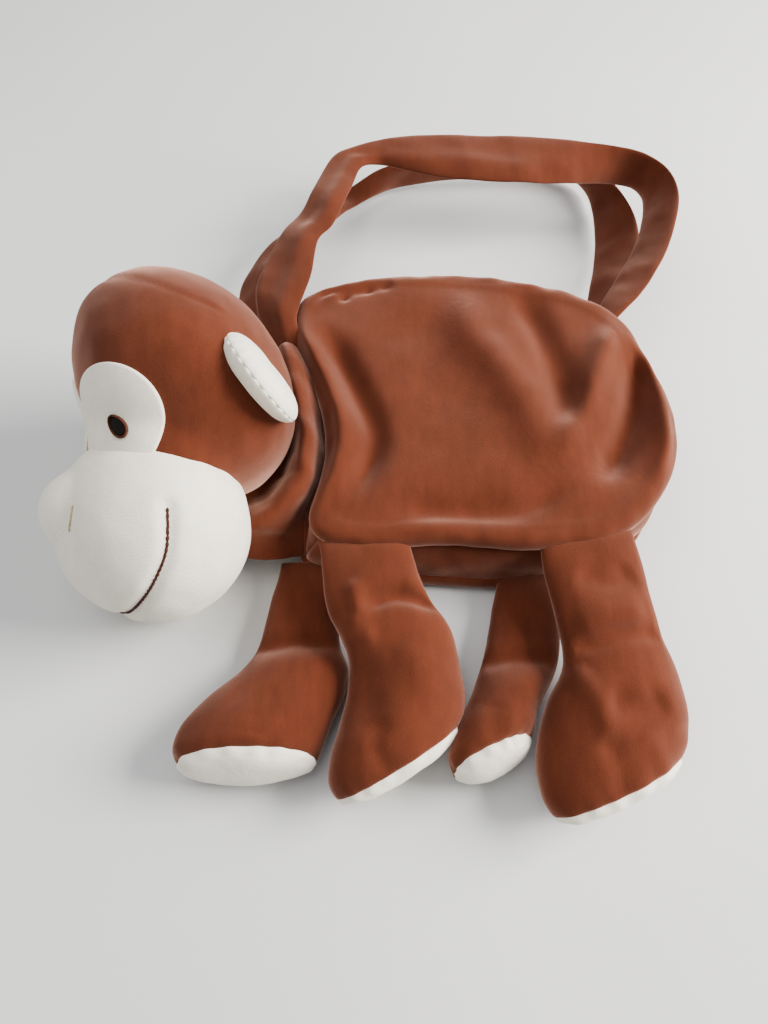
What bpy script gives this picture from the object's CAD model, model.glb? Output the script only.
"""Looks of a plush monkey handbag that lies on its right side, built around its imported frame.

Shapes are worked out in the bag's own millimetres: +X to the tail end, +Y to the straps, +Z up.
"""
import math

import bmesh
import bpy
import numpy as np
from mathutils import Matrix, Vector


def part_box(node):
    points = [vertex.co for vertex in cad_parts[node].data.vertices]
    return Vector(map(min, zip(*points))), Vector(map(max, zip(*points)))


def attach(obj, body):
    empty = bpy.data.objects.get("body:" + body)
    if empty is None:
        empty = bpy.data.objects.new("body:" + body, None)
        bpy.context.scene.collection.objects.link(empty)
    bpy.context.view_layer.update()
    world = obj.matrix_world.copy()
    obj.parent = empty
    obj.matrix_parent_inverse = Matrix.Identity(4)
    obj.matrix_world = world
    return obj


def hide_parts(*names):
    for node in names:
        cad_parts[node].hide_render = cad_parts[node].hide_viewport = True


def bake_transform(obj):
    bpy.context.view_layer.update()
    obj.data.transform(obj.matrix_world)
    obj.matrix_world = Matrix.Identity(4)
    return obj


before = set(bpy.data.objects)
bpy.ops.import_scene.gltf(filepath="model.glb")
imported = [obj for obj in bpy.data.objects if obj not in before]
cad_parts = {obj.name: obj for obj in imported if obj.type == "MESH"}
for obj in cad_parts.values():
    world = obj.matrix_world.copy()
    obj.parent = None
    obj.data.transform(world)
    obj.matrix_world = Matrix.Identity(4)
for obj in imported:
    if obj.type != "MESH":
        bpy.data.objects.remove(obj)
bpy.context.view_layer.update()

# ---- where the bag's millimetres lie in the row's frame ----
SLIDER_X = 84.0
SLIDER_LOWEST_Y = 161.5
slider_low, slider_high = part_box("zip_slider")
SHIFT = np.array([
    (slider_low.x + slider_high.x) * 500 - SLIDER_X,
    slider_low.y * 1000 - SLIDER_LOWEST_Y,
    0.0,
])


def row(points):
    """Bag millimetres to metres in the row's frame."""
    return (np.asarray(points, float) + SHIFT) * 0.001


# ---- dimensions, in millimetres ----
PLUSH = 2.2
PANEL_MIDDLE = np.array([62.0, 68.0])
NEAR_OUTLINE = [
    (-35, -23), (-13, -28), (9, -27), (37, -26), (75, -29), (97, -28), (120, -25), (138, -17), (154, -2),
    (168, 20), (174, 42), (174, 70), (167, 98), (156, 130), (136, 150), (104, 163), (65, 171), (24, 172),
    (-9, 169), (-38, 161), (-55, 148), (-58, 122), (-52, 101), (-45, 85), (-37, 60), (-34, 34), (-37, 12),
    (-42, -10),
]
FAR_OUTLINE = [
    (-46, -25), (-10, -32), (27, -35), (57, -37), (81, -36), (112, -31), (142, -17), (158, 2), (169, 30),
    (173, 60), (166, 100), (150, 134), (122, 157), (90, 165), (40, 167), (-5, 165), (-40, 155), (-54, 130),
    (-52, 95), (-44, 60), (-42, 25), (-48, 0),
]
# Rows of a panel's cross-section: how far in from its outline, and the height.
NEAR_PROFILE = [
    (6.0, 36.6), (3.0, 36.2), (0.8, 37.6), (-0.6, 40.6), (-0.4, 43.8), (1.8, 46.8), (5.5, 48.6),
    (10.0, 49.0), (16.0, 48.2), (26.0, 48.4), (45.0, 49.4), (80.0, 50.0),
]
FAR_PROFILE = [
    (6.0, 12.2), (3.0, 12.6), (0.6, 11.4), (-0.8, 8.6), (-0.6, 5.4), (1.4, 2.6), (5.0, 0.9), (10.0, 0.3),
    (30.0, 0.25), (80.0, 0.25),
]
PROFILE_REACH = 80.0

# Head. Offsets are from the skull's centre in the head's own frame: forward, left, up.
SKULL_CENTRE = np.array([-111.8, 56.6, 75.0])
SKULL_RADII = (55.0, 59.0, 70.0)
SKULL_TILT = 14.0  # degrees
CHEEK_OFFSET = (30.0, 0.0, -30.0)
CHEEK_RADII = (38.0, 50.0, 42.0)
MUZZLE_OFFSET = (51.5, 5.0, -62.0)
MUZZLE_RADII = (51.5, 63.5, 53.5)
NOSE_OFFSET = (33.0, -3.0, 26.0)
NOSE_RADII = (17.0, 22.0, 17.0)
FACE_DIRECTION = (-0.79, -0.59, 0.17)
CROWN_DIRECTION = (-0.36, 0.66, 0.66)
# Eyes: aims in degrees, and the widest and tallest points of each oval.
EYE_SIDEWAYS = 29.8
EYE_UP = 2.0
PUPIL_SIDEWAYS = 33.0
PUPIL_UP = -3.0
PATCH_WIDE = (32.3, 0.0)
PATCH_TALL = (0.0, 27.5)
PUPIL_WIDE = (4.5, 0.8)
PUPIL_TALL = (-3.2, 5.6)
EAR_ROOT = (-23.5, 49.5, -8.0)
EAR_OUTWARD = (0.44, 0.9, 0.0)
EAR_UPWARD = (0.3, 0.0, 0.95)
EAR_SIZE = (27.0, 28.5, 8.8)


# ---- helpers ----
def bridge(a, b, c, d, t):
    """Point a share t of the way from b to c, on a smooth curve from a to d."""
    return 0.5 * (2 * b + (c - a) * t + (2 * a - 5 * b + 4 * c - d) * t**2 + (3 * b - a - 3 * c + d) * t**3)


def lengths(curve):
    """How far along the curve each of its points lies."""
    return np.concatenate([[0], np.cumsum(np.linalg.norm(np.diff(curve, axis=0), axis=1))])


def at_lengths(curve, along, places):
    """Points of the curve at places along it."""
    return np.column_stack([np.interp(places, along, curve[:, k]) for k in range(curve.shape[1])])


def spline(points, count, closed=False):
    """Smooth curve through points, sampled at count places equally far apart."""
    p = np.asarray(points, float)
    n = len(p)
    t = np.linspace(0, 1, 30, endpoint=False)[:, None]
    parts = []
    for i in range(n if closed else n - 1):
        if closed:
            a, b, c, d = p[i - 1], p[i], p[(i + 1) % n], p[(i + 2) % n]
        else:
            b, c = p[i], p[i + 1]
            a = p[i - 1] if i > 0 else 2 * b - c
            d = p[i + 2] if i + 2 < n else 2 * c - b
        parts.append(bridge(a, b, c, d, t))
    dense = np.vstack(parts + [p[:1] if closed else p[-1:]])
    along = lengths(dense)
    curve = at_lengths(dense, along, np.linspace(0, along[-1], count + (1 if closed else 0)))
    return curve[:-1] if closed else curve


def through(rows, count):
    """Rows of numbers, blended smoothly to count rows at even steps from one to the next."""
    p = np.asarray(rows, float)
    at = np.linspace(0, len(p) - 1, count)
    i = np.minimum(at.astype(int), len(p) - 2)
    t = (at - i)[:, None]
    a = p[np.maximum(i - 1, 0)]
    b, c = p[i], p[i + 1]
    d = p[np.minimum(i + 2, len(p) - 1)]
    return bridge(a, b, c, d, t)


def circle(count):
    """Angles evenly round a full turn."""
    return np.linspace(0, 2 * math.pi, count, endpoint=False)


def rounded(value, power):
    """A sine or cosine raised to a power that keeps its sign, for ovals with fuller corners."""
    return np.sign(value) * np.abs(value) ** power


def keep_above(points, height):
    points[..., 2] = np.maximum(points[..., 2], height)


def unit(v):
    """The vectors scaled to a length of one."""
    v = np.asarray(v, float)
    return v / np.linalg.norm(v, axis=-1, keepdims=True)


def smooth(t):
    """A soft step from 0 to 1 as t goes from 0 to 1."""
    t = np.clip(t, 0, 1)
    return t * t * (3 - 2 * t)


def waves(points, size, seed, count=26):
    """Smooth lumps about size millimetres across, with a spread of about one, the same every run."""
    rng = np.random.default_rng(seed)
    p = np.asarray(points, float)
    directions = unit(rng.normal(size=(count, p.shape[-1])))
    wavelengths = 2 * size * rng.uniform(0.7, 1.6, count)
    phases = rng.uniform(0, 2 * math.pi, count)
    angles = (p @ directions.T) * (2 * math.pi / wavelengths) + phases
    return np.sin(angles).sum(-1) / math.sqrt(count / 2)


FOLD_FADE = 0.25  # share of a fold's length over which each end fades


def fold(points, line, height, width):
    """Height of a fold that runs along a line and fades over its ends."""
    line = spline(line, 140)
    p = points[..., :line.shape[1]].reshape(-1, line.shape[1])
    nearest = np.full(len(p), np.inf)
    place = np.zeros(len(p))
    for i, q in enumerate(line):
        distance = np.linalg.norm(p - q, axis=1)
        closer = distance < nearest
        nearest[closer] = distance[closer]
        place[closer] = i / (len(line) - 1)
    fade = smooth(place / FOLD_FADE) * smooth((1 - place) / FOLD_FADE)
    return (height * np.exp(-((nearest / width) ** 2)) * fade).reshape(points.shape[:-1])


def make(name, vertices, faces, material):
    """Smooth-shaded piece from points in bag millimetres."""
    mesh = bpy.data.meshes.new(name)
    mesh.from_pydata(row(vertices).tolist(), [], [list(map(int, f)) for f in faces])
    mesh.materials.append(material)
    work = bmesh.new()
    work.from_mesh(mesh)
    bmesh.ops.remove_doubles(work, verts=work.verts, dist=2e-6)
    bmesh.ops.recalc_face_normals(work, faces=work.faces)
    work.to_mesh(mesh)
    work.free()
    mesh.polygons.foreach_set("use_smooth", [True] * len(mesh.polygons))
    piece = bpy.data.objects.new(name, mesh)
    bpy.context.scene.collection.objects.link(piece)
    return piece


def grid_faces(rings, columns, wrap=True, start=0):
    """Quads between rings of points, whose first point has the index start."""
    faces = []
    for r in range(rings - 1):
        for c in range(columns if wrap else columns - 1):
            d = (c + 1) % columns
            a, b = start + r * columns, start + (r + 1) * columns
            faces.append((a + c, a + d, b + d, b + c))
    return faces


def tube(name, rings, material, caps=True, flat_caps=False):
    """Closed body through rings of points. Flat caps keep the shading smooth up to a cut edge."""
    rings = np.asarray(rings, float)
    count, columns = rings.shape[:2]
    vertices = rings.reshape(-1, 3)
    faces = grid_faces(count, columns)
    if caps:
        vertices = np.vstack([vertices, rings[0].mean(0), rings[-1].mean(0)])
        last = (count - 1) * columns
        for c in range(columns):
            d = (c + 1) % columns
            faces.append((count * columns, d, c))
            faces.append((count * columns + 1, last + c, last + d))
    piece = make(name, vertices, faces, material)
    if flat_caps:
        for polygon in piece.data.polygons:
            polygon.use_smooth = len(polygon.vertices) > 3
    return piece


def apply_modifiers(piece):
    """Makes the piece's modifiers part of its mesh."""
    bpy.context.view_layer.update()
    graph = bpy.context.evaluated_depsgraph_get()
    mesh = bpy.data.meshes.new_from_object(piece.evaluated_get(graph))
    piece.modifiers.clear()
    piece.data = mesh
    return piece


def thicken(piece, thickness):
    """Gives a sheet its thickness in millimetres, on its inner side."""
    solid = piece.modifiers.new("thickness", "SOLIDIFY")
    solid.thickness = thickness * 0.001
    solid.offset = -1
    solid.use_even_offset = False
    return apply_modifiers(piece)


def shell(name, rings, material, thickness=PLUSH, up=True):
    """Skin through rings of points, open at its first ring, closed at its last, thickened inwards."""
    rings = np.asarray(rings, float)
    count, columns = rings.shape[:2]
    vertices = np.vstack([rings.reshape(-1, 3), rings[-1].mean(0)])
    faces = grid_faces(count, columns)
    last = (count - 1) * columns
    faces += [(count * columns, last + c, last + (c + 1) % columns) for c in range(columns)]
    piece = make(name, vertices, faces, material)
    middle = piece.data.polygons[-1].normal.z
    if (middle > 0) != up:
        piece.data.flip_normals()
    return thicken(piece, thickness)


def coordinates(piece):
    """The piece's points in metres."""
    co = np.zeros(len(piece.data.vertices) * 3)
    piece.data.vertices.foreach_get("co", co)
    return co.reshape(-1, 3)


CLOTH_FRAMES = 14
CLOTH_STIFFNESS = 12.0
HELD_WITHIN = 12.0  # millimetres from a held edge over which points move less
FLOOR_CLEARANCE = 0.0002  # metres


def puff(piece, pressure, most, held=None):
    """Lets air pressure fill the piece's cloth.

    No point moves more than most millimetres, and the points of a held edge don't move at all.
    """
    before = coordinates(piece)
    cloth = piece.modifiers.new("cloth", "CLOTH")
    settings = cloth.settings
    settings.quality = 5
    settings.use_pressure = True
    settings.uniform_pressure_force = pressure
    settings.tension_stiffness = CLOTH_STIFFNESS
    settings.compression_stiffness = CLOTH_STIFFNESS
    settings.shear_stiffness = CLOTH_STIFFNESS / 2
    settings.bending_stiffness = 0.4
    settings.effector_weights.gravity = 0
    cloth.collision_settings.use_collision = False
    cloth.point_cache.frame_start = 1
    cloth.point_cache.frame_end = CLOTH_FRAMES
    for number in range(1, CLOTH_FRAMES + 1):
        bpy.context.scene.frame_set(number)
    apply_modifiers(piece)
    bpy.context.scene.frame_set(1)
    moved = (coordinates(piece) - before) * 1000
    length = np.linalg.norm(moved, axis=1, keepdims=True)
    moved *= np.minimum(1, most / np.maximum(length, 1e-9))
    if held is not None:
        ring = row(held)[None]
        gap = np.full(len(before), np.inf)
        for part in np.array_split(np.arange(len(before)), 40):
            gap[part] = np.linalg.norm(before[part][:, None] - ring, axis=2).min(1)
        moved *= smooth(gap * 1000 / HELD_WITHIN)[:, None]
    after = before + moved * 0.001
    keep_above(after, FLOOR_CLEARANCE)
    piece.data.vertices.foreach_set("co", after.ravel())
    piece.data.update()


def dress(piece, slot, *nodes, body=None, fill=None):
    """Says what body a piece rides on, what it replaces, what it is made of and how full it is."""
    if body:
        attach(piece, body)
    if nodes:
        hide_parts(*nodes)


# ---- materials ----
def put(node, **values):
    """Sets a node's sockets; a space in a socket's name is written as _."""
    for name, value in values.items():
        node.inputs[name.replace("_", " ")].default_value = value


def node_material(name):
    """New material, its node tree, its shader and the piece's own coordinates."""
    material = bpy.data.materials.new(name)
    material.use_nodes = True
    tree = material.node_tree
    tree.nodes.clear()
    output = tree.nodes.new("ShaderNodeOutputMaterial")
    shader = tree.nodes.new("ShaderNodeBsdfPrincipled")
    tree.links.new(shader.outputs[0], output.inputs["Surface"])
    coordinate = tree.nodes.new("ShaderNodeTexCoord")
    return material, tree, shader, coordinate.outputs["Object"]


def noise(tree, vector, scale, detail=3.0):
    node = tree.nodes.new("ShaderNodeTexNoise")
    put(node, Scale=scale, Detail=detail, Roughness=0.6)
    tree.links.new(vector, node.inputs["Vector"])
    return node.outputs["Fac"]


def bands(tree, vector, direction, **values):
    node = tree.nodes.new("ShaderNodeTexWave")
    node.bands_direction = direction
    put(node, **values)
    tree.links.new(vector, node.inputs["Vector"])
    return node.outputs


def ramp(tree, value, *stops):
    """Colour that follows the value between two stops, each a place and a colour."""
    node = tree.nodes.new("ShaderNodeValToRGB")
    for element, (place, color) in zip(node.color_ramp.elements, stops):
        element.position = place
        element.color = (*color, 1)
    tree.links.new(value, node.inputs["Fac"])
    return node.outputs["Color"]


def tones(tree, value, color, dark, light, low=0.3, high=0.7):
    """The colour, made darker where the value is low and lighter where it is high."""
    shades = [tuple(min(1.0, c * factor) for c in color) for factor in (dark, light)]
    return ramp(tree, value, (low, shades[0]), (high, shades[1]))


def mix(tree, share, a, b, mode="MIX"):
    node = tree.nodes.new("ShaderNodeMix")
    node.data_type = "RGBA"
    node.blend_type = mode
    node.inputs[0].default_value = share
    tree.links.new(a, node.inputs[6])
    tree.links.new(b, node.inputs[7])
    return node.outputs[2]


def bump(tree, shader, height, strength, distance, under=None):
    """Adds a bump to the shader, on top of the one under it."""
    node = tree.nodes.new("ShaderNodeBump")
    put(node, Strength=strength, Distance=distance)
    tree.links.new(height, node.inputs["Height"])
    if under is not None:
        tree.links.new(under, node.inputs["Normal"])
    tree.links.new(node.outputs[0], shader.inputs["Normal"])
    return node.outputs[0]


def plush(name, color, sheen, tint, contrast, rib=None):
    """Short-pile plush: a mottled nap, fine pile bump and a soft sheen."""
    material, tree, shader, vector = node_material(name)
    # Brushed one way and the other, the nap shows lighter and darker strokes.
    stroke = tree.nodes.new("ShaderNodeMapping")
    put(stroke, Rotation=(0.4, 0.3, 0.9), Scale=(1.0, 0.32, 0.6))
    tree.links.new(vector, stroke.inputs["Vector"])
    brushed = stroke.outputs["Vector"]
    dark, light = 1 - contrast, 1 + contrast
    broad = tones(tree, noise(tree, vector, 24), color, dark, light, 0.36, 0.64)
    nap = tones(tree, noise(tree, brushed, 170, 5), color, dark, light, 0.34, 0.66)
    pile = tones(tree, noise(tree, vector, 1500, 2), color, 0.7, 1.3)
    tree.links.new(mix(tree, 0.3, mix(tree, 0.5, broad, nap), pile), shader.inputs["Base Color"])
    put(shader, Roughness=1.0, Specular_IOR_Level=0.05)
    put(shader, Sheen_Weight=sheen, Sheen_Roughness=0.4, Sheen_Tint=(*tint, 1))
    soft = bump(tree, shader, noise(tree, vector, 260, 3), 0.08, 0.001)
    fine = bump(tree, shader, noise(tree, vector, 1900, 2), 0.4, 0.0006, soft)
    if rib:
        knit = bands(tree, vector, rib, Scale=190, Distortion=1.5, Detail=2)
        bump(tree, shader, knit["Fac"], 0.06, 0.0004, fine)
    return material


def woven(name, color, scale=900):
    """Woven cloth: two crossing sets of threads, with a little colour variation."""
    material, tree, shader, vector = node_material(name)
    threads = [bands(tree, vector, way, Scale=scale / 3, Distortion=0.6)["Color"] for way in "XY"]
    weave = mix(tree, 0.5, *threads)
    tone = tones(tree, noise(tree, vector, 60, 4), color, 0.8, 1.2)
    tree.links.new(mix(tree, 0.12, tone, weave, "MULTIPLY"), shader.inputs["Base Color"])
    put(shader, Roughness=0.85, Sheen_Weight=0.15)
    bump(tree, shader, weave, 0.5, 0.0004)
    return material


def thread_material(name, color):
    """Embroidery thread: fine twisted fibres with a soft gloss."""
    material, tree, shader, vector = node_material(name)
    tree.links.new(tones(tree, noise(tree, vector, 700, 3), color, 0.7, 1.4), shader.inputs["Base Color"])
    put(shader, Roughness=0.6, Specular_IOR_Level=0.1)
    bump(tree, shader, noise(tree, vector, 1800, 2), 0.4, 0.0003)
    return material


def moulded(name, color, roughness, metallic=0.0):
    """Moulded plastic or plated metal: fine scuffs and uneven gloss."""
    material, tree, shader, vector = node_material(name)
    tone = tones(tree, noise(tree, vector, 90, 5), color, 0.88, 1.1, 0.35)
    tree.links.new(tone, shader.inputs["Base Color"])
    gloss = tones(tree, noise(tree, vector, 160, 5), (roughness,) * 3, 0.7, 1.4)
    tree.links.new(gloss, shader.inputs["Roughness"])
    put(shader, Metallic=metallic)
    bump(tree, shader, noise(tree, vector, 900, 4), 0.12, 0.0002)
    return material


BROWN = plush("brown_plush", (0.088, 0.02, 0.0085), sheen=0.8, tint=(1.0, 0.56, 0.43), contrast=0.24)
CREAM_COLOR = (0.9, 0.81, 0.67)
CREAM_TINT = (1, 0.97, 0.9)
CREAM = plush("cream_plush", CREAM_COLOR, sheen=0.35, tint=CREAM_TINT, contrast=0.08)
CREAM_KNIT = plush("cream_knit", CREAM_COLOR, sheen=0.3, tint=CREAM_TINT, contrast=0.07, rib="Y")
FIBRE = plush("stuffing_fibre", (0.86, 0.85, 0.82), sheen=0.5, tint=(1, 1, 1), contrast=0.06)
LINING = woven("lining_cloth", (0.11, 0.05, 0.03))
TAPE = woven("zip_tape", (0.13, 0.05, 0.03), scale=1800)
TEETH = moulded("zip_teeth", (0.16, 0.06, 0.035), 0.35)
METAL = moulded("zip_metal", (0.62, 0.60, 0.56), 0.3, 1.0)
DARK_THREAD = thread_material("dark_thread", (0.008, 0.005, 0.004))
MOUTH_THREAD = thread_material("mouth_thread", (0.05, 0.016, 0.010))
BROWN_THREAD = thread_material("brown_thread", (0.07, 0.022, 0.011))
TAN_THREAD = thread_material("tan_thread", (0.5, 0.36, 0.18))

# ---- pouch ----
PANEL_COLUMNS = 240
near_outline = spline(NEAR_OUTLINE, PANEL_COLUMNS, closed=True)
far_outline = spline(FAR_OUTLINE, PANEL_COLUMNS, closed=True)
PANEL_REACH = 0.985  # share of the way to the middle where a panel's last ring lies


def inset_by(outline, inset):
    """The outline drawn in towards the middle, so that the profile's whole reach ends close to it."""
    towards = PANEL_MIDDLE - outline
    reach = np.linalg.norm(towards, axis=1, keepdims=True)
    share = smooth(inset / PROFILE_REACH)
    part = inset / reach * (1 - share) + inset / PROFILE_REACH * share
    return outline + towards * part * PANEL_REACH


def panel_rings(outline, profile, rows):
    """A panel's rings from its edge to its middle, and how far in from the outline each one lies."""
    levels = spline(profile, rows)
    rings = [np.column_stack([inset_by(outline, inset), np.full(len(outline), z)]) for inset, z in levels]
    return np.array(rings), levels[:, 0]


# Folds of the near panel: line seen from above, height, and half width.
NEAR_FOLDS = [
    ([(51, 165), (55, 121), (72, 89), (86, 60), (93, 30), (92, 3)], 6.0, 14),
    ([(84, 165), (98, 128), (108, 92), (112, 60), (108, 30)], -6.5, 10),
    ([(150, 134), (137, 102), (125, 74), (110, 42), (100, 16)], 7.5, 9),
    ([(176, 118), (160, 88), (152, 62), (141, 38), (120, 4)], -11.0, 10),
    ([(158, 128), (169, 92), (170, 50), (162, 15), (146, -10)], 4.0, 8),
    ([(110, 12), (84, -4), (60, -8), (0, -8)], -4.5, 8),
    ([(-44, 142), (-39, 156), (-20, 156), (2, 161)], -2.2, 4),
    ([(16, 150), (26, 100), (30, 60), (26, 10)], -2.5, 26),
    ([(-60, 134), (-50, 112), (-40, 92), (-30, 66), (-23, 41), (-27, 14), (-36, -14)], 5.2, 9),
    ([(-42, 130), (-27, 100), (-13, 68), (-5, 40), (-12, 14), (-22, -6)], -7.5, 8),
]
# Small dimples where the top seam is caught down: place seen from above, depth, half width.
SEAM_DIMPLES = [((-39, 156), 2.6, 3.5), ((-26, 151), 3.2, 3.5), ((1, 160), 2.8, 4.0), ((-10, 157), 1.4, 3.0)]


def near_surface(points):
    """What the near panel's folds add to its height."""
    z = sum(fold(points, line, height, width) for line, height, width in NEAR_FOLDS)
    for place, depth, width in SEAM_DIMPLES:
        distance = np.linalg.norm(points[..., :2] - np.array(place), axis=-1)
        z = z - depth * np.exp(-((distance / width) ** 2))
    return z + 0.5 * waves(points[..., :2], 34, 11) + 0.07 * waves(points[..., :2], 12, 12)


def near_panel_rings(profile, rows):
    rings, insets = panel_rings(near_outline, profile, rows)
    flat = smooth((insets - 1.0) / 8.0)[:, None]
    rings[..., 2] += near_surface(rings) * flat
    rings[..., 2] += (1 - flat) * waves(rings[..., :2], 9, 13) * 0.35
    return rings


near_panel = shell("near_panel", near_panel_rings(NEAR_PROFILE, 84), BROWN)
dress(near_panel, "brown_plush", "near_side_panel", body="pouch")

far_rings, far_insets = panel_rings(far_outline, FAR_PROFILE, 60)
far_rings[..., 2] += 0.3 * waves(far_rings[..., :2], 14, 21) * smooth((12 - far_insets) / 8)[:, None]
keep_above(far_rings, 0.1)
far_panel = shell("far_panel", far_rings, BROWN, up=False)
dress(far_panel, "brown_plush", "far_side_panel", body="pouch")

WADDING_NEAR = [(14.0, 42.6), (26.0, 43.2), (45.0, 44.2), (80.0, 44.8)]
WADDING_FAR = [(12.0, 3.4), (30.0, 3.2), (80.0, 3.2)]
near_fill = shell("near_padding", near_panel_rings(WADDING_NEAR, 34), FIBRE, 1.6)
far_fill_rings, _ = panel_rings(far_outline, WADDING_FAR, 24)
far_fill_rings[..., 2] += 0.3 * waves(far_fill_rings[..., :2], 12, 22)
far_fill = shell("far_padding", far_fill_rings, FIBRE, 1.4)
dress(near_fill, "stuffing", "near_wadding", body="pouch", fill=0.15)
dress(far_fill, "stuffing", "far_wadding", body="pouch", fill=0.15)

# Strips between the two panels. Corners where one strip ends and the next begins:
CHEST_CORNER = (-40, -24)
RUMP_CORNER = (141, -17)
MOUTH_REAR = (118, 159)
MOUTH_FRONT = (-34, 158)
ZIP_MIDDLE_Z = 24.0
NEAR_EDGE_Z = 37.2
FAR_EDGE_Z = 11.6


def column_at(point):
    return int(np.argmin(np.linalg.norm(near_outline - np.array(point), axis=1)))


def columns_between(start, end):
    first, last = column_at(start), column_at(end)
    if last < first:
        last += PANEL_COLUMNS
    return np.arange(first, last + 1) % PANEL_COLUMNS


TAPE_HEIGHT = 4.4
TAPE_SHOWING = 3.4  # height of tape between the teeth and the top strip


def mouth_half(s):
    """Half the opening between the two tapes, at a share s of the way along it."""
    return 2.6 + 4.0 * np.sin(math.pi * s)


def zip_edge(side, beyond=0.0):
    """Heights along the mouth's edge on one side, or beyond it."""
    return lambda s: ZIP_MIDDLE_Z + side * mouth_half(s) + side * beyond


def wall(columns, low, high, bulge, seed, rows=16, inset=2.2):
    """Grid of points up the side of the pouch between two heights, bulging outwards."""
    share = np.linspace(0, 1, rows)[:, None]
    s = np.linspace(0, 1, len(columns))
    z = low(s) + (high(s) - low(s)) * share
    lift = ((z - FAR_EDGE_Z) / (NEAR_EDGE_Z - FAR_EDGE_Z))[..., None]
    xy = inset_by(far_outline, inset)[columns] * (1 - lift) + inset_by(near_outline, inset)[columns] * lift
    outward = unit(xy - PANEL_MIDDLE)
    bow = np.sin(math.pi * share)
    push = bulge * bow + 0.5 * waves(np.dstack([xy, z]), 9, seed) * bow
    return np.dstack([xy + outward * push[..., None], z])


def strip(name, node, grid, material=BROWN, thickness=1.8, slot="brown_plush"):
    """Thin band of the pouch's side, thickened on its inner side."""
    rows, columns = grid.shape[:2]
    piece = make(name, grid.reshape(-1, 3), grid_faces(rows, columns, wrap=False), material)
    outward = grid[rows // 2, columns // 2] - np.array([*PANEL_MIDDLE, grid[rows // 2, columns // 2, 2]])
    middle = len(piece.data.polygons) // 2
    if Vector(outward).dot(piece.data.polygons[middle].normal) < 0:
        piece.data.flip_normals()
    thicken(piece, thickness)
    dress(piece, slot, node, body="pouch")


def low_edge(s):
    return np.full_like(s, FAR_EDGE_Z)


def high_edge(s):
    return np.full_like(s, NEAR_EDGE_Z)


for name, node, start, end, bulge, seed in (
    ("belly_side", "belly_gusset", CHEST_CORNER, RUMP_CORNER, 2.5, 31),
    ("rump_side", "rump_gusset", RUMP_CORNER, MOUTH_REAR, 2.8, 32),
    ("chest_side", "chest_gusset", MOUTH_FRONT, CHEST_CORNER, 1.0, 33),
):
    strip(name, node, wall(columns_between(start, end), low_edge, high_edge, bulge, seed))
mouth_columns = columns_between(MOUTH_REAR, MOUTH_FRONT)
for name, node, low, high, seed in (
    ("near_top_side", "near_top_strip", zip_edge(1, TAPE_SHOWING), high_edge, 34),
    ("far_top_side", "far_top_strip", low_edge, zip_edge(-1, TAPE_SHOWING), 35),
):
    strip(name, node, wall(mouth_columns, low, high, 1.0, seed, rows=10))
for name, node, low, high, seed in (
    ("near_tape", "near_zip_tape", zip_edge(1), zip_edge(1, TAPE_HEIGHT), 36),
    ("far_tape", "far_zip_tape", zip_edge(-1, TAPE_HEIGHT), zip_edge(-1), 37),
):
    tape = wall(mouth_columns, low, high, 0.2, seed, rows=5, inset=3.0)
    strip(name, node, tape, TAPE, 0.8, "zip_tape")

ZIP_INSET = 3.4  # how far in from the outlines the teeth lie
TOOTH_COUNT = 72
TEETH_LEFT_OUT = 2  # at each end, where the stops are
TOOTH_ROOT = 0.9  # how far behind the tape's edge a tooth begins
# Sections of a tooth from root to tip: height, half width along the zip, half thickness.
TOOTH_SECTIONS = ((0.0, 0.45, 0.95), (-1.5, 0.6, 1.15), (-2.3, 0.72, 1.0), (-2.7, 0.35, 0.5))
near_line, far_line = (inset_by(edge, ZIP_INSET)[mouth_columns] for edge in (near_outline, far_outline))
tooth_places = spline((near_line + far_line) / 2, TOOTH_COUNT)
tooth_headings = unit(np.gradient(tooth_places, axis=0))
tooth_halves = mouth_half(np.linspace(0, 1, TOOTH_COUNT))
for name, node, side in (("near_teeth", "near_zip_teeth", 1), ("far_teeth", "far_zip_teeth", -1)):
    vertices, faces = [], []
    for k in range(TEETH_LEFT_OUT, TOOTH_COUNT - TEETH_LEFT_OUT):
        along = np.array([*tooth_headings[k], 0])
        out = np.array([along[1], -along[0], 0])
        up = np.array([0, 0, side])
        base = np.array([*tooth_places[k], ZIP_MIDDLE_Z]) + up * (tooth_halves[k] + TOOTH_ROOT)
        start = len(vertices)
        for height, wide, thick in TOOTH_SECTIONS:
            for a, b in ((-1, -1), (1, -1), (1, 1), (-1, 1)):
                vertices.append(base + up * height + along * a * wide + out * b * thick)
        faces += grid_faces(len(TOOTH_SECTIONS), 4, start=start)
        faces += [(start, start + 1, start + 2, start + 3), (start + 12, start + 13, start + 14, start + 15)]
    dress(make(name, vertices, faces, TEETH), "zip_teeth", node, body="pouch")

for node in ("zip_rear_stop", "zip_front_stop"):
    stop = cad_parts[node]
    stop.data.materials.clear()
    stop.data.materials.append(METAL)


def rounded_box(size, centre, radius):
    """Points and faces of a box with rounded edges."""
    work = bmesh.new()
    bmesh.ops.create_cube(work, size=1)
    for vertex in work.verts:
        vertex.co = Vector([vertex.co[k] * size[k] for k in range(3)])
    bmesh.ops.bevel(work, geom=work.edges[:], offset=radius, segments=3, affect="EDGES", profile=0.5)
    vertices = [tuple(v.co[k] + centre[k] for k in range(3)) for v in work.verts]
    faces = [[v.index for v in f.verts] for f in work.faces]
    work.free()
    return vertices, faces


def joined(name, parts, material):
    """One piece from several sets of points and faces."""
    vertices, faces = [], []
    for part_vertices, part_faces in parts:
        start = len(vertices)
        vertices += part_vertices
        faces += [[i + start for i in f] for f in part_faces]
    return make(name, vertices, faces, material)


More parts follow.
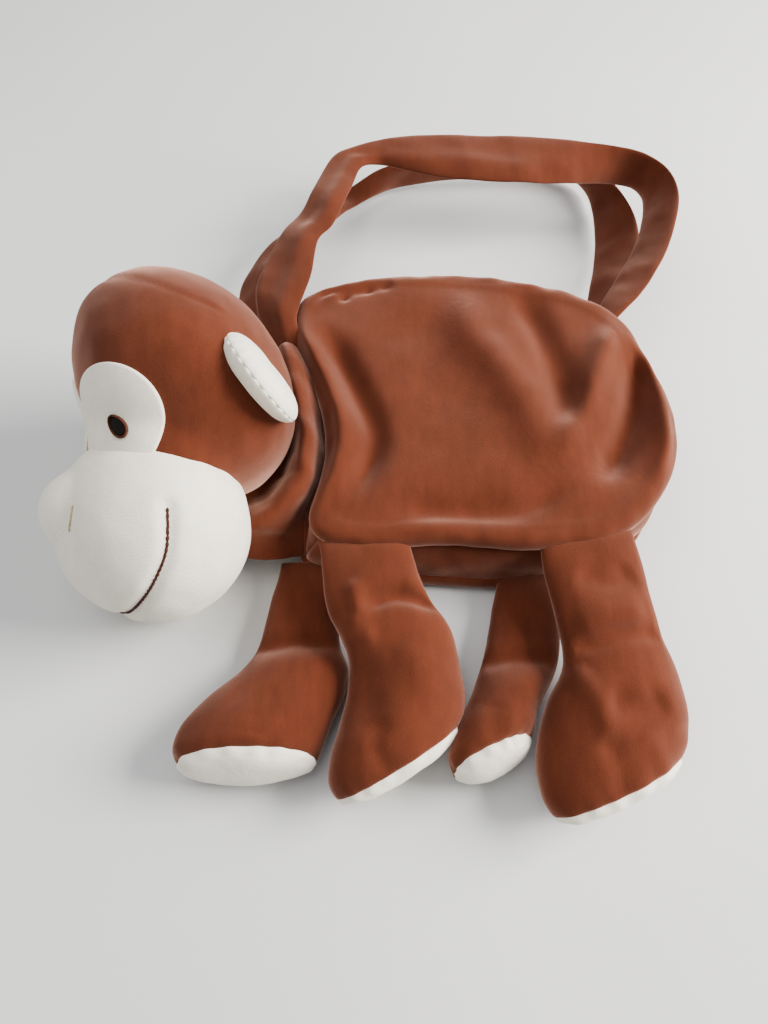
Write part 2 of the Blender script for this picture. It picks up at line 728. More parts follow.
# Boxes of the slider: size, place from the slider's middle, edge radius.
SLIDER_BOXES = [
    ((6.4, 6.4, 3.4), (0, 0, 0), 0.6), ((8.4, 1.5, 9.4), (0, 3.2, 0), 0.7),
    ((5.4, 1.6, 7.0), (-2, 3.4, 0), 0.7), ((8.4, 1.4, 9.4), (0, -3.2, 0), 0.65),
    ((1.6, 2.8, 1.8), (1.6, 4.5, 0), 0.5), ((4.4, 1.1, 1.8), (0.2, 5.6, 0), 0.45),
]
SLIDER_RISE = 3.8  # from its lowest point to its middle
SLIDER_MIDDLE = np.array([SLIDER_X, SLIDER_LOWEST_Y + SLIDER_RISE, ZIP_MIDDLE_Z])
slider_boxes = [rounded_box(size, SLIDER_MIDDLE + place, radius) for size, place, radius in SLIDER_BOXES]
dress(joined("slider_body", slider_boxes, METAL), "zip_metal", "zip_slider", body="zip_slider")

# Pull tab: a flat tongue with a hole, its rim raised a little.
TAB_COLUMNS = 60
TAB_HOLE_RADIUS = 1.5
TAB_HOLE_PLACE = 16
TAB_ROOT = SLIDER_MIDDLE + (3.4, 5.4, 0)
TAB_SINK = 0.6  # how far the tab's zero height lies under its root
tab_outline = spline([
    (0.8, -1.9), (6, -2.2), (14, -2.9), (17, -3.1), (19.4, -2.1), (20.2, 0), (19.4, 2.1), (17, 3.1),
    (14, 2.9), (6, 2.2), (0.8, 1.9), (0.2, 0),
], TAB_COLUMNS, closed=True)
tab_hole = np.array([(TAB_HOLE_PLACE + TAB_HOLE_RADIUS * math.cos(a), TAB_HOLE_RADIUS * math.sin(a))
                     for a in np.linspace(math.pi, -math.pi, TAB_COLUMNS, endpoint=False)])
# The outline is rolled to start at its root. Its points run the other way round than the hole's.
tab_outline = np.roll(tab_outline, -int(np.argmin(tab_outline[:, 0])), axis=0)
tab_rings = []
# Each row: share of the way from the outline to the hole, height.
for share, height in ((0, -0.5), (0, 0.7), (0.18, 1.0), (0.35, 0.6), (0.85, 0.6), (1, 0.9), (1, -0.5)):
    flat = tab_outline * (1 - share) + tab_hole * share
    level = np.full(TAB_COLUMNS, TAB_ROOT[1] - TAB_SINK + height)
    tab_rings.append(np.column_stack([TAB_ROOT[0] + flat[:, 0], level, TAB_ROOT[2] + flat[:, 1]]))
tab_rings.append(tab_rings[0])
dress(tube("slider_tab", tab_rings, METAL, caps=False), "zip_metal", "zip_pull_tab", body="zip_pull")

# Pocket lining: a slack sewn pocket that hangs from the zip.
# Each row: y, middle x, half width along X, half height along Z.
LINING_ROWS = [
    (163.0, 40, 60, 5.0), (158.0, 45, 72, 7.0), (148.0, 55, 84, 11.0), (120.0, 60, 92, 14.0),
    (80.0, 68, 86, 14.5), (40.0, 72, 82, 14.0), (10.0, 68, 74, 11.0), (-6.0, 66, 64, 6.0),
    (-10.0, 66, 58, 1.5),
]
LINING_RINGS, LINING_COLUMNS = 60, 120
lining_rings = []
angle = circle(LINING_COLUMNS)
for y, middle, half_x, half_z in through(LINING_ROWS, LINING_RINGS):
    z = ZIP_MIDDLE_Z + half_z * rounded(np.sin(angle), 0.7)
    lining_rings.append(np.column_stack([middle + half_x * np.cos(angle), np.full(LINING_COLUMNS, y), z]))
lining_rings = np.array(lining_rings)
lining_rings[..., 2] += 0.8 * waves(lining_rings, 16, 41)
pocket = make("pocket", lining_rings.reshape(-1, 3), grid_faces(LINING_RINGS, LINING_COLUMNS), LINING)
thicken(pocket, 0.8)
dress(pocket, "lining_cloth", "pocket_lining", body="pouch")

# ---- head ----
forward = unit(FACE_DIRECTION)
crown = np.array(CROWN_DIRECTION)
crown = unit(crown - crown.dot(forward) * forward)
left = np.cross(crown, forward)
HEAD = np.column_stack([forward, left, crown])


def head_point(offset):
    """Point in the head's own frame (forward, left, up from the skull's centre) to bag millimetres."""
    return SKULL_CENTRE + np.asarray(offset, float) @ HEAD.T


class Ball:
    """Closed surface round a centre: ellipsoids that melt into each other, reshaped by shape.

    Each ellipsoid is its offset from the centre, its radii and its tilt in degrees.
    """

    def __init__(self, centre, ellipsoids, soften, shape=None):
        self.centre = np.asarray(centre, float)
        self.ellipsoids = ellipsoids
        self.soften = soften
        self.shape = shape

    def reach(self, directions):
        """How far the surface lies from the centre in each direction."""
        total = 0
        for offset, radii, tilt in self.ellipsoids:
            angle = math.radians(tilt)
            turn = np.array([
                [math.cos(angle), 0, math.sin(angle)], [0, 1, 0], [-math.sin(angle), 0, math.cos(angle)]])
            local = directions @ turn / np.array(radii)
            origin = -(np.array(offset) @ turn) / np.array(radii)
            a = (local**2).sum(-1)
            b = (local * origin).sum(-1)
            c = (origin**2).sum(-1) - 1
            inside = b * b - a * c
            hit = np.where(inside > 0, (-b + np.sqrt(np.maximum(inside, 0))) / a, 0)
            total = total + np.exp(np.clip(hit, 0, None) / self.soften)
        reach = self.soften * np.log(total)
        if self.shape is not None:
            reach = reach + self.shape(directions, reach)
        return reach

    def point(self, directions, lift=0.0):
        """Bag millimetres of the surface in these directions, raised by lift."""
        directions = unit(directions)
        return head_point(self.centre + directions * (self.reach(directions) + lift)[..., None])


def cube_ball(steps):
    """Directions and faces of a cube's six faces blown up to a ball."""
    angle = np.tan(np.linspace(-math.pi / 4, math.pi / 4, steps + 1))
    u, v = np.meshgrid(angle, angle)
    one = np.ones_like(u)
    sides = [(one, u, v), (-one, u, v), (u, one, v), (u, -one, v), (u, v, one), (u, v, -one)]
    directions = np.vstack([np.dstack(side).reshape(-1, 3) for side in sides])
    faces = []
    for k in range(6):
        faces += grid_faces(steps + 1, steps + 1, wrap=False, start=k * (steps + 1) ** 2)
    return unit(directions), faces


def groove(directions, reach, line, depth, width):
    """A pressed-in line on a ball; line holds directions."""
    places = directions * reach[..., None]
    line = unit(spline(line, 60))
    nearest = np.full(directions.shape[:-1], np.inf)
    for q in line:
        cross = np.linalg.norm(np.cross(directions, q), axis=-1)
        angle = np.arctan2(cross, directions @ q)
        nearest = np.minimum(nearest, angle * np.linalg.norm(places, axis=-1))
    return -depth * np.exp(-((nearest / width) ** 2))


# The crown seam runs from one side of the head to the other in front of the top.
CROWN_SEAM = [
    (-20, 52, 34), (0, 42, 52), (14, 22, 64), (18, 0, 68), (14, -22, 64), (0, -42, 52), (-20, -52, 34),
]
CENTRE_SEAM = [(18, 0, 68), (-6, 0, 72), (-34, 0, 58), (-50, 0, 30), (-54, 0, 0)]


def skull_shape(directions, reach):
    points = directions * reach[..., None]
    change = groove(directions, reach, CROWN_SEAM, 0.6, 1.8)
    change = change + groove(directions, reach, CENTRE_SEAM, 0.5, 1.8)
    return change + 0.45 * waves(points, 24, 51) + 0.12 * waves(points, 8, 52)


SKULL = [((0, 0, 0), SKULL_RADII, SKULL_TILT), (CHEEK_OFFSET, CHEEK_RADII, 0)]
skull = Ball((0, 0, 0), SKULL, soften=3.0, shape=skull_shape)

MOUTH = [
    (1, 60, 16), (6, 62, 6), (12, 60, -5), (23, 51, -18), (34, 28, -30), (38, 0, -35),
    (34, -28, -30), (23, -51, -18), (12, -60, -5), (6, -62, 6), (1, -60, 16),
]


def muzzle_shape(directions, reach):
    points = directions * reach[..., None]
    change = groove(directions, reach, MOUTH, 3.0, 3.6)
    return change + 0.5 * waves(points, 26, 61) + 0.12 * waves(points, 8, 62)


MUZZLE = [((0, 0, 0), MUZZLE_RADII, 0), (NOSE_OFFSET, NOSE_RADII, 0)]
muzzle = Ball(MUZZLE_OFFSET, MUZZLE, soften=4.0, shape=muzzle_shape)


def ball_piece(name, ball, material, steps=44, lift=0.0):
    directions, faces = cube_ball(steps)
    points = ball.point(directions, lift)
    keep_above(points, 0.15)
    return make(name, points, faces, material)


head_skin = ball_piece("head_skin", skull, BROWN)
puff(head_skin, pressure=2.0, most=1.5)
dress(head_skin, "brown_plush", "head_cover", body="head", fill=0.95)
muzzle_skin = ball_piece("muzzle_skin", muzzle, CREAM_KNIT)
puff(muzzle_skin, pressure=2.0, most=1.2)
dress(muzzle_skin, "cream_plush", "muzzle_cover", body="head", fill=0.95)

rough_skull = Ball((0, 0, 0), SKULL, 3.0, lambda d, r: 0.9 * waves(d * r[..., None], 9, 53))
rough_muzzle = Ball(MUZZLE_OFFSET, MUZZLE, 4.0, lambda d, r: 0.9 * waves(d * r[..., None], 9, 63))
for name, ball in (("head", rough_skull), ("muzzle", rough_muzzle)):
    filling = ball_piece(f"{name}_filling", ball, FIBRE, steps=20, lift=-7.0)
    dress(filling, "stuffing", f"{name}_stuffing", body="head", fill=0.9)


def aim_axes(sideways, up):
    """Aim direction and its sideways and upward axes, in the head's frame."""
    s, u = math.radians(sideways), math.radians(up)
    aim = np.array([math.cos(s) * math.cos(u), math.sin(s) * math.cos(u), math.sin(u)])
    across = unit(np.cross((0, 0, 1), aim))
    return aim, across, np.cross(aim, across)


def on_ball(ball, axes, a, b, lift):
    """Points of the ball a sideways and b upwards of an aim, raised by lift."""
    aim, across, upward = axes
    return ball.point(aim * ball.reach(aim[None])[0] + across * a[..., None] + upward * b[..., None], lift)


def oval(wide, tall, share, angle, side):
    """Sideways and upward offsets round an oval given by its widest and tallest points."""
    offsets = np.outer(np.cos(angle), wide) + np.outer(np.sin(angle), tall)
    return side * share * offsets[:, 0], share * offsets[:, 1]


def disc(ball, axes, wide, tall, profile, columns, side):
    """Rings of an oval laid on a ball; profile rows are share of the radius and lift."""
    rings = []
    for share, lift in profile:
        rings.append(on_ball(ball, axes, *oval(wide, tall, share, circle(columns), side), lift))
    return np.array(rings)


PATCH_PROFILE = [
    (0.93, -1.5), (0.985, -0.8), (1.0, 0.1), (0.99, 0.9), (0.965, 1.4), (0.93, 1.6), (0.8, 1.8), (0.6, 2.0),
    (0.4, 2.1), (0.2, 2.1), (0.05, 2.1),
]
EYE_PROFILE = [(1.0, 1.4), (0.97, 2.5), (0.88, 3.0), (0.7, 3.3), (0.4, 3.5), (0.1, 3.55)]
RIM_PROFILE = [(0.84, 1.9), (0.87, 3.3), (0.93, 3.6), (1.0, 3.1), (1.03, 1.9)]
SIDES = (("near", 1), ("far", -1))
EYE_SHRINK = 0.84  # share of its rim's size that the pupil keeps
RIM_STITCHES = 22
plain_skull = Ball((0, 0, 0), SKULL, 3.0)
for side_name, side in SIDES:
    axes = aim_axes(side * EYE_SIDEWAYS, EYE_UP)
    patch_rings = disc(plain_skull, axes, PATCH_WIDE, PATCH_TALL, through(PATCH_PROFILE, 40), 120, side)
    patch = tube(f"{side_name}_patch", patch_rings, CREAM)
    dress(patch, "cream_plush", f"{side_name}_eye_patch", body="head")

    # The pupil is dark satin stitch, with a brown rim sewn round it stitch by stitch.
    eye_axes = aim_axes(side * PUPIL_SIDEWAYS, PUPIL_UP)
    pupil_rings = disc(plain_skull, eye_axes, PUPIL_WIDE, PUPIL_TALL, through(EYE_PROFILE, 26), 96, side)
    pupil_rings = pupil_rings * EYE_SHRINK + pupil_rings[-1].mean(0) * (1 - EYE_SHRINK)
    pupil = tube(f"{side_name}_pupil", pupil_rings, DARK_THREAD)
    dress(pupil, "dark_thread", f"{side_name}_eye", body="head")
    angle = circle(12 * RIM_STITCHES)
    rim = []
    for share, lift in RIM_PROFILE:
        stitch = 1 + 0.03 * np.sin(2 * RIM_STITCHES * angle + 2 * share)
        a, b = oval(PUPIL_WIDE, PUPIL_TALL, share, angle, side)
        raised = lift + 0.2 * np.abs(np.sin(RIM_STITCHES * angle))
        rim.append(on_ball(plain_skull, eye_axes, a * stitch, b * stitch, raised))
    dress(tube(f"{side_name}_eye_rim", rim, BROWN_THREAD, caps=False), "dark_thread", body="head")


THREAD_STEP = 0.6  # millimetres between the rings of a thread
THREAD_TAPER = 1.5  # millimetres over which its ends taper


def stitched_line(name, ball, line, radius, stitch, material, lift):
    """A row of thread stitches laid on a ball, along a line given as directions from its centre."""
    curve = spline(line, 400)
    points = ball.point(curve, lift)
    along = lengths(points)
    places = np.linspace(0, along[-1], max(12, int(along[-1] / THREAD_STEP)))
    path = at_lengths(points, along, places)
    heading = unit(np.gradient(path, axis=0))
    outward = unit(path - head_point(ball.centre))
    side = unit(np.cross(heading, outward))
    outward = np.cross(side, heading)
    swell = 0.72 + 0.28 * np.abs(np.sin(math.pi * places / stitch))
    ends = smooth(np.minimum(places, along[-1] - places) / THREAD_TAPER) * 0.7 + 0.3
    angle = circle(10)[:, None]
    rings = []
    for k in range(len(path)):
        size = radius * swell[k] * ends[k]
        rings.append(path[k] + size * (np.cos(angle) * side[k] + 0.8 * np.sin(angle) * outward[k]))
    return tube(name, rings, material)


mouth = stitched_line("mouth_thread", muzzle, MOUTH, 0.9, 3.0, MOUTH_THREAD, 0.25)
dress(mouth, "dark_thread", "mouth_stitching", body="head")
for side_name, side in SIDES:
    line = [(35, side * 25, 31), (39.5, side * 25.5, 25.5), (42.5, side * 24, 19.5)]
    nostril = stitched_line(f"{side_name}_nostril_thread", muzzle, line, 0.75, 2.2, TAN_THREAD, 0.3)
    dress(nostril, "tan_thread", f"{side_name}_nostril", body="head")

# Ears: two puffed halves sewn together round the rim, the seam facing outwards.
EAR_PROFILE = [
    (0.985, 0.06), (1.0, 0.4), (1.0, 1.2), (0.985, 2.2), (0.955, 3.4), (0.9, 4.8), (0.82, 6.2), (0.7, 7.4),
    (0.5, 8.3), (0.25, 8.6), (0.04, 8.6),
]
EAR_DEEPEST = 8.6
EAR_DIMPLE, EAR_DIMPLE_SHARE = 1.4, 0.45  # depth, and share of the ear's radius
FAR_EAR_REACH = 0.6  # share of the near ear's reach that the far ear keeps
outward = unit(EAR_OUTWARD)
upward = np.array(EAR_UPWARD)
upward = unit(upward - upward.dot(outward) * outward)
front = np.cross(outward, upward)
for side_name, side in SIDES:
    reach = EAR_SIZE[0] * (1.0 if side > 0 else FAR_EAR_REACH)
    for half, way in (("front", 1), ("back", -1)):
        angle = circle(120)
        rings = []
        for share, depth in through(EAR_PROFILE, 34):
            gather = 1 + 0.012 * np.sin(26 * angle + way) * smooth((share - 0.6) / 0.4)
            a = reach * share * gather * np.cos(angle)
            b = EAR_SIZE[1] * share * gather * np.sin(angle)
            dip = EAR_DIMPLE * math.exp(-((share / EAR_DIMPLE_SHARE) ** 2)) if way > 0 else 0.0
            thick = way * (depth * EAR_SIZE[2] / EAR_DEEPEST - dip)
            offset = np.outer(a, outward) + np.outer(b, upward) + thick * front
            offset = offset + 0.3 * (waves(offset, 9, 81 + way) * way * (1 - share))[:, None] * front
            rings.append(head_point((np.array(EAR_ROOT) + offset) * (1, side, 1)))
        rings = np.array(rings)
        keep_above(rings, 0.3)
        ear = tube(f"{side_name}_ear_{half}_half", rings, CREAM)
        puff(ear, pressure=2.0, most=0.8)
        dress(ear, "cream_plush", f"{side_name}_ear_{half}", body=f"{side_name}_ear", fill=0.8)

# ---- neck ----
# Each ring of the neck curves round the back of the head. Its (y, x) points seen from above, then the
# height of its top at the chest and at the nape, of its bottom, and its slant at the chest's bottom.
NECK_RINGS = [
    ([(-14, -20), (14, -12), (34, -10), (60, -13), (86, -24), (112, -38)], 34, 34, 8, 8),
    ([(-12, -34), (14, -28), (34, -25), (60, -27), (88, -36), (114, -46)], 33, 37, 8, 12),
    ([(-9, -47), (2, -45), (17, -39), (38, -35), (65, -38), (91, -45), (114, -54)], 31, 45, 8, 16),
    ([(-13, -78), (-12, -66), (-7, -56), (3, -46), (14, -41), (41, -41), (80, -49), (118, -59)],
     52, 54, 7, 18),
    ([(-12, -86), (-10, -74), (-4, -64), (5, -55), (15, -49), (41, -48), (80, -57), (116, -67)],
     55, 56, 7, 16),
    ([(1, -90), (5, -81), (11, -71), (22, -62), (36, -58), (54, -61), (76, -67), (110, -77)],
     36, 38, 9, 10),
    ([(10, -96), (18, -85), (30, -76), (54, -71), (76, -77), (100, -88)], 38, 38, 14, 4),
]
NECK_COLUMNS = 132


def neck_ring(curve, chest_top, nape_top, bottom, slant):
    ys, xs = np.array(curve, float).T
    middle, half = (ys[0] + ys[-1]) / 2, (ys[-1] - ys[0]) / 2
    angle = circle(NECK_COLUMNS)
    y = middle + half * np.cos(angle)
    x = np.interp(y, ys, xs)
    top = chest_top + (nape_top - chest_top) * smooth((y - 45) / 40)
    centre = (top + bottom) / 2
    z = centre + (top - bottom) / 2 * rounded(np.sin(angle), 0.5)
    low = smooth((centre - z) / (top - bottom) + 0.5) * smooth((middle - y) / half)
    return np.column_stack([x, y - slant * low, z])


NECK_RINGS_BUILT = 97
CREASE = 32  # the ring at which the sleeve ends and the collar begins
neck_rows = np.array([neck_ring(*ring) for ring in NECK_RINGS]).reshape(len(NECK_RINGS), -1)
neck_rings = through(neck_rows, NECK_RINGS_BUILT).reshape(NECK_RINGS_BUILT, NECK_COLUMNS, 3)
neck_rings[..., 2] += 0.7 * waves(neck_rings, 12, 91) + 0.2 * waves(neck_rings, 5, 92)
keep_above(neck_rings, 0.4)
neck_back = tube("neck_sleeve_skin", neck_rings[:CREASE + 1], BROWN, flat_caps=True)
dress(neck_back, "brown_plush", "neck_sleeve")
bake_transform(neck_back)
neck_front = tube("neck_collar_skin", neck_rings[CREASE:], BROWN, flat_caps=True)
dress(neck_front, "brown_plush")
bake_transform(neck_front)

# ---- straps ----
# Each station: (x, y, z) of the outer edge and of the inner edge, how far the middle stands proud.
NEAR_STRAP = [
    (-66, 112, 36, -50, 100, 42, 1.0), (-80, 132, 39, -53, 116, 46, 1.5),
    (-85, 159, 44, -56, 134, 50, 2.5), (-79, 182, 48, -48, 164, 54, 3.0),
    (-70, 207, 50, -44, 193, 57, 3.0), (-58, 224, 53, -34, 208, 58, 3.0),
    (-50, 243, 56, -24, 237, 60, 3.0), (-38, 272, 59, -16, 264, 58, 1.5), (-23, 282, 61, -2, 271, 55, 1.0),
    (0, 290, 62, 19, 265, 54, 1.5), (33, 293, 63, 40, 259, 54, 2.0), (70, 292, 63, 67, 255, 54, 2.5),
    (106, 291, 63, 101, 254, 53, 2.0), (138, 288, 62, 133, 261, 47, 1.0),
    (166, 284, 61, 162, 272, 38, 0.0), (188, 277, 60, 184, 277, 31, 0.0),
    (203, 262, 58, 193, 268, 29, 0.0), (207, 240, 56, 191, 249, 30, 0.0),
    (201, 213, 53, 183, 222, 31, 0.5), (187, 181, 50, 167, 191, 32, 0.5),
    (170, 156, 46, 153, 168, 32, 0.5), (154, 139, 42, 143, 149, 33, 0.0),
    (146, 132, 40, 137, 140, 34, 0.0),
]
FAR_STRAP = [
    (-82, 128, 8, -54, 124, 16, 0.5), (-100, 152, 10, -68, 140, 26, 0.5),
    (-104, 186, 12, -72, 168, 32, 0.5), (-97, 209, 14, -64, 190, 34, 0.5),
    (-84, 233, 16, -52, 214, 34, 0.5), (-60, 258, 18, -38, 242, 30, 0.0),
    (-30, 286, 20, -20, 278, 14, 0.0), (0, 304, 27, 4, 304, 6, 0.0), (36, 313, 29, 37, 315, 5, 0.0),
    (75, 316, 30, 78, 320, 5, 0.0), (122, 316, 29, 125, 322, 5, 0.0), (152, 309, 28, 150, 318, 5, 0.0),
    (171, 294, 27, 162, 302, 4, 0.0), (184, 266, 26, 164, 280, 4, 0.0), (187, 236, 26, 162, 250, 4, 0.0),
    (180, 206, 26, 156, 218, 6, 0.0), (167, 178, 25, 148, 188, 8, 0.0), (153, 156, 21, 140, 162, 9, 0.0),
    (143, 142, 17, 131, 148, 11, 0.0),
]
STRAP_HALF_THICKNESS = 2.6


def strap(side, stations, seed):
    """One strap's skin, through its stations."""
    rows = through(stations, 210)
    centre = (rows[:, :3] + rows[:, 3:6]) / 2
    width = unit(rows[:, :3] - rows[:, 3:6])
    half = np.linalg.norm(rows[:, :3] - rows[:, 3:6], axis=1) / 2
    normal = unit(np.cross(width, unit(np.gradient(centre, axis=0))))
    if side == "near":
        normal *= np.where(normal[:, 2:] < 0, -1, 1)
    angle = circle(48)
    across = rounded(np.cos(angle), 0.8)
    thick = STRAP_HALF_THICKNESS * rounded(np.sin(angle), 0.9)
    edge = 1 - 0.5 * np.abs(np.cos(angle)) ** 6
    rings = []
    for k in range(len(rows)):
        bend = rows[k, 6] * np.exp(-(((across + 0.35) / 0.45) ** 2))
        ring = centre[k] + (half[k] * across)[:, None] * width[k] + (thick + bend)[:, None] * normal[k]
        lump = 0.6 * waves(ring, 16, seed) + 0.12 * waves(ring, 7, seed + 1)
        rings.append(ring + (lump * edge)[:, None] * normal[k] * 0.8)
    rings = np.array(rings)
    keep_above(rings, 0.4)
    piece = tube(f"{side}_strap_skin", rings, BROWN)
    dress(piece, "brown_plush", f"{side}_strap")
    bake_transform(piece)


strap("near", NEAR_STRAP, 101)
strap("far", FAR_STRAP, 111)

# ---- legs ----
# Rows from the hip to the sole: (x, y) of the left side and of the right side, height of the middle,
# half thickness. Folds: line seen from above, height, half width. Ankle: the row at which the foot
# begins. Dip: how far the sole faces down.
LEGS = {
    "near_front": {
        "rows": [
            (-37, -25, 13, -23, 40, 3.5), (-36, -32, 15, -29, 40, 6), (-35, -45, 19, -41, 38, 8),
            (-31, -64, 25, -55, 35, 10), (-23, -79, 32, -68, 33, 11.5), (-18, -90, 37, -79, 30, 14),
            (-19, -106, 41, -94, 27, 17.5), (-24, -123, 43, -103, 24, 20),
            (-28, -138, 43, -110, 22.5, 20.5), (-28, -150, 42, -115, 21.5, 19.5),
            (-23, -158, 39, -120, 20.5, 17.5),
        ],
        "folds": [
            ([(-13, -68), (-4, -61), (6, -58), (18, -59), (32, -65)], -4.5, 5),
            ([(-20, -48), (-15, -58), (-15, -69), (-22, -77)], 3, 5),
            ([(-32, -78), (-18, -81), (-2, -79)], 2.5, 6), ([(8, -50), (22, -52), (34, -58)], 1.5, 7),
            ([(-20, -88), (-10, -108), (-4, -136)], -2.5, 8), ([(6, -82), (20, -98), (26, -116)], 1.5, 10),
            ([(2, -120), (-4, -136), (4, -150)], -1.6, 5),
        ],
        "ankle": 4.3, "dip": 0.25,
    },
    "near_rear": {
        "rows": [
            (88, -26, 139, -16, 40, 3.5), (88, -32, 140, -23, 40, 6), (89, -46, 143, -36, 38, 8),
            (91, -66, 145, -56, 36, 10), (94, -85, 149, -77, 33, 11.5), (93, -97, 153, -89, 30, 15),
            (85, -111, 156, -101, 27, 18.5), (79, -128, 158, -113, 24, 20.5),
            (77, -144, 158, -121, 22, 20.5), (79, -158, 156, -129, 21.5, 19.5),
            (84, -167, 151, -136, 20.5, 17.5),
        ],
        "folds": [
            ([(94, -88), (110, -83), (130, -78), (152, -78)], -3.5, 6),
            ([(98, -78), (116, -72), (140, -68)], 2, 7), ([(110, -112), (128, -117), (144, -112)], -3.5, 8),
            ([(94, -92), (106, -112), (114, -136)], 2.5, 6),
            ([(102, -44), (120, -50), (138, -42)], -2.5, 8),
            ([(126, -128), (134, -138), (136, -150)], 1.6, 6),
            ([(108, -130), (114, -146), (112, -160)], -1.8, 5),
        ],
        "ankle": 4.3, "dip": 0.25,
    },
    "far_front": {
        "rows": [
            (-61, -24, -24, -25, 9.5, 2.6), (-62, -32, -25, -32, 10, 5.0), (-65, -46, -26, -46, 11, 8),
            (-68, -65, -26, -65, 12, 9), (-72, -79, -25, -78, 13, 10.5), (-80, -92, -21, -91, 15, 13),
            (-96, -107, -22, -106, 17, 15), (-107, -121, -27, -119, 19, 17),
            (-110, -133, -31, -131, 20, 18), (-107, -141, -34, -139, 20, 17.5),
        ],
        "folds": [
            ([(-78, -83), (-52, -77), (-24, -79)], -3.6, 5.5),
            ([(-76, -94), (-52, -91), (-28, -92)], 0.9, 7),
            ([(-84, -108), (-68, -112), (-52, -106)], -1.6, 8),
            ([(-66, -116), (-64, -126), (-66, -134)], -1.0, 5),
        ],
        "ankle": 4.2, "dip": -0.35,
    },
    "far_rear": {
        "rows": [
            (67, -32, 103, -31, 9.5, 3.5), (65, -38, 102, -37, 10, 5.5), (63, -49, 101, -48, 10.5, 8),
            (61, -63, 100, -61, 11, 9), (57, -81, 98, -79, 12, 10), (50, -98, 95, -92, 14, 12),
            (42, -114, 88, -104, 16.5, 15), (36, -127, 81, -114, 18, 17), (34, -138, 79, -122, 18.5, 17.5),
            (36, -146, 77, -128, 18.5, 16.5),
        ],
        "folds": [
            ([(48, -90), (71, -86), (100, -86)], -3.6, 5.5), ([(48, -102), (66, -100), (88, -98)], 0.9, 7),
            ([(58, -110), (56, -122), (58, -136)], -1.2, 5),
        ],
        "ankle": 4.2, "dip": -0.3,
    },
}
LEG_COLUMNS = 108
STEPS_PER_ROW = 10
LEAN = (0.9, 0.9, 0)  # how much of the lean each axis takes


def leg_skin(leg, seed, shrink=0.0):
    """Rings of a leg from hip to sole, with the folds on its upper side."""
    count = (len(leg["rows"]) - 1) * STEPS_PER_ROW + 1
    smoothed = through(leg["rows"], count)
    centres = np.column_stack([(smoothed[:, :2] + smoothed[:, 2:4]) / 2, smoothed[:, 4]])
    angle = circle(LEG_COLUMNS)
    rings = []
    for k, (ax, ay, bx, by, z, thick) in enumerate(smoothed):
        across = np.array([bx - ax, by - ay, 0.0])
        half = np.linalg.norm(across) / 2
        across = unit(across)
        along = centres[min(k + 1, count - 1)] - centres[max(k - 1, 0)]
        along = unit(along - along.dot(across) * across)
        upward = np.cross(across, along)
        upward = upward if upward[2] > 0 else -upward
        a = (half - shrink) * rounded(np.cos(angle), 0.9)
        b = max(thick - shrink, 1.0) * rounded(np.sin(angle), 0.95)
        rings.append(centres[k] + a[:, None] * across + b[:, None] * upward)
    rings = np.array(rings)
    middle = rings.mean(1, keepdims=True)
    top = smooth((rings[..., 2] - middle[..., 2]) / 8 + 0.3)
    rings[..., 2] += sum(fold(rings[..., :2], *values) for values in leg["folds"]) * top
    lump = 0.6 * waves(rings, 22, seed) + 0.08 * waves(rings, 8, seed + 1)
    return rings + unit(rings - middle) * lump[..., None], centres


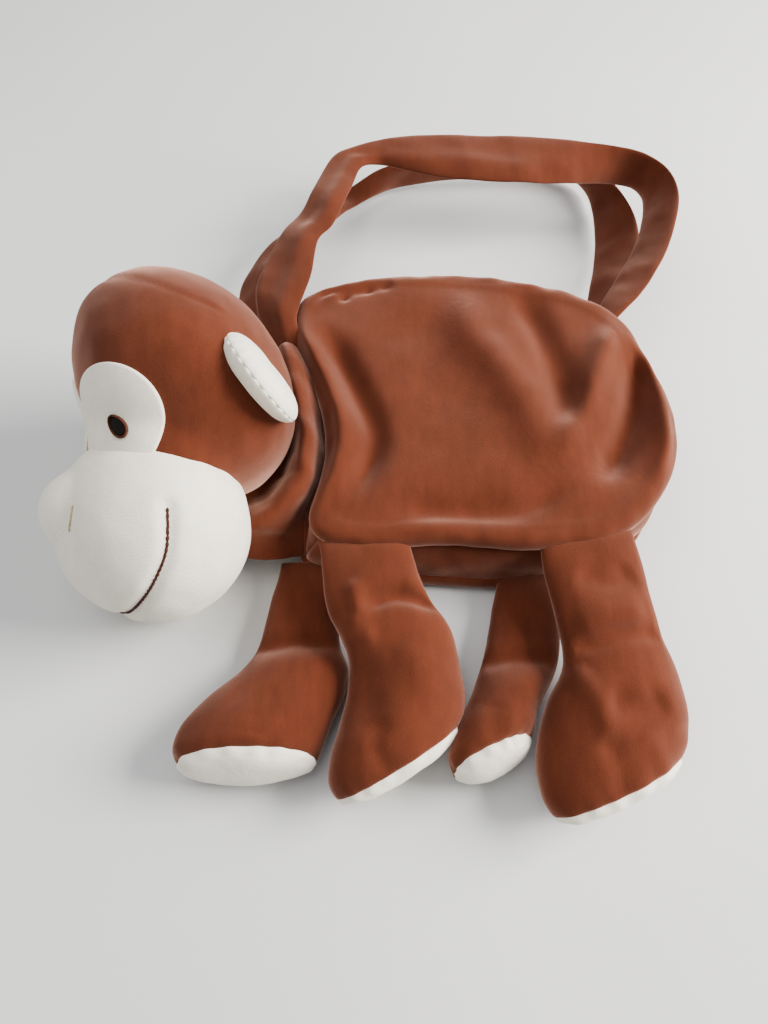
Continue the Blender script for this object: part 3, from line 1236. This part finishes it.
# Share of the foot's end that the sole spans, and how far it stands out from it.
SOLE_PROFILE = [
    (0.97, -2.4), (1.02, -0.8), (1.035, 0.7), (1.02, 2.0), (0.96, 3.6), (0.84, 5.6), (0.62, 7.4), (0.35, 8.4),
    (0.05, 8.7),
]
for number, (name, leg) in enumerate(LEGS.items()):
    rings, centres = leg_skin(leg, 120 + 10 * number)
    ankle = int(round(leg["ankle"] * STEPS_PER_ROW))
    # The end is turned in under the sole, with gathers where the sole is sewn on.
    place = len(rings) - 1 - np.arange(len(rings))
    angle = circle(LEG_COLUMNS)
    middle = rings.mean(1, keepdims=True)
    gathers = 0.4 * np.sin(15 * angle + 1.8 * np.sin(3 * angle + number)) * np.exp(-place / 4.5)[:, None]
    tuck = 1.8 * np.exp(-place / 1.4)[:, None]
    outwards = unit(rings - middle)
    plain_end = rings[-1] - outwards[-1] * tuck[-1]
    rings += outwards * (gathers - tuck)[..., None]
    ax, ay, bx, by = leg["rows"][-1][:4]
    out = unit([by - ay, ax - bx, 0])
    out = unit([out[0], out[1], -leg["dip"]])
    lean = smooth(1 - place / 16)[:, None] * (rings[..., 2] - middle[..., 2]) * leg["dip"]
    rings += lean[..., None] * out * LEAN
    plain_end += lean[-1][:, None] * out * LEAN
    keep_above(rings, 0.35)

    skin = tube(f"{name}_skin", rings, BROWN)
    puff(skin, pressure=2.5, most=1.6, held=np.vstack([rings[0], rings[-1]]))
    dress(skin, "brown_plush", f"{name}_leg", f"{name}_foot", fill=0.75)
    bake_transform(skin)

    # The foot's filling starts a little past the ankle and stops short of the sole.
    filling_rings = leg_skin(leg, 125 + 10 * number, shrink=6.0)[0][ankle + 6:-4:3]
    keep_above(filling_rings, 5.0)
    filling = tube(f"{name}_filling", filling_rings, FIBRE)
    dress(filling, "stuffing", f"{name}_foot_stuffing", body=f"{name}_foot", fill=0.8)

    # Sole: a puffed oval sewn to the end of the foot.
    end = rings[-1]
    centre = end.mean(0)
    sole_rings = []
    for share, depth in through(SOLE_PROFILE, 40):
        edge = smooth((share - 0.8) / 0.2)
        ring = centre + (end * edge + plain_end * (1 - edge) - centre) * share + out * depth
        gather = 0.25 * np.sin(23 * angle + 0.6) * smooth((share - 0.6) / 0.4) * smooth((4 - depth) / 4)
        sole_rings.append(ring + out * gather[:, None])
    sole_rings = np.array(sole_rings)
    sole_rings += out * (0.4 * waves(sole_rings, 12, 170 + number))[..., None]
    keep_above(sole_rings, 0.3)
    sole = tube(f"{name}_sole_skin", sole_rings, CREAM)
    dress(sole, "cream_plush", f"{name}_sole", body=f"{name}_foot", fill=0.7)

# ---- floor, light and camera ----
floor_material, floor_tree, floor_shader, floor_vector = node_material("pale_floor")
floor_noise = noise(floor_tree, floor_vector, 3, 2)
floor_tone = ramp(floor_tree, floor_noise, (0.3, (0.66, 0.65, 0.63)), (0.7, (0.7, 0.69, 0.67)))
floor_tree.links.new(floor_tone, floor_shader.inputs["Base Color"])
put(floor_shader, Roughness=0.9)
FLOOR_HALF = 3.0
floor_corners = [(x * FLOOR_HALF, y * FLOOR_HALF, 0) for x, y in ((-1, -1), (1, -1), (1, 1), (-1, 1))]
floor_mesh = bpy.data.meshes.new("floor")
floor_mesh.from_pydata(floor_corners, [], [(0, 1, 2, 3)])
floor_mesh.materials.append(floor_material)
floor = bpy.data.objects.new("floor", floor_mesh)
bpy.context.scene.collection.objects.link(floor)

LIGHT_TARGET = Vector((0, 0, 0.03))


def area_light(name, place, size, energy, color):
    light = bpy.data.lights.new(name, "AREA")
    light.size = size
    light.energy = energy
    light.color = color
    lamp = bpy.data.objects.new(name, light)
    lamp.location = place
    lamp.rotation_euler = (LIGHT_TARGET - Vector(place)).to_track_quat("-Z", "Y").to_euler()
    bpy.context.scene.collection.objects.link(lamp)


area_light("key", (1.3, 0.05, 0.75), size=0.9, energy=92, color=(1, 0.985, 0.96))
area_light("fill", (-0.4, 0.2, 1.3), size=1.2, energy=12, color=(0.97, 0.98, 1))
world = bpy.data.worlds.new("soft_sky")
world.use_nodes = True
put(world.node_tree.nodes["Background"], Color=(0.9, 0.95, 1.0, 1), Strength=0.5)
bpy.context.scene.world = world

camera_data = bpy.data.cameras.new("camera")
camera_data.lens = 27
camera_data.sensor_width = 36
camera = bpy.data.objects.new("camera", camera_data)
camera.location = Vector(row((0, -211.3, 427.3)))
camera_target = Vector(row((0, 0, 30)))
camera.rotation_euler = (camera_target - camera.location).to_track_quat("-Z", "Y").to_euler()
bpy.context.scene.collection.objects.link(camera)
bpy.context.scene.camera = camera
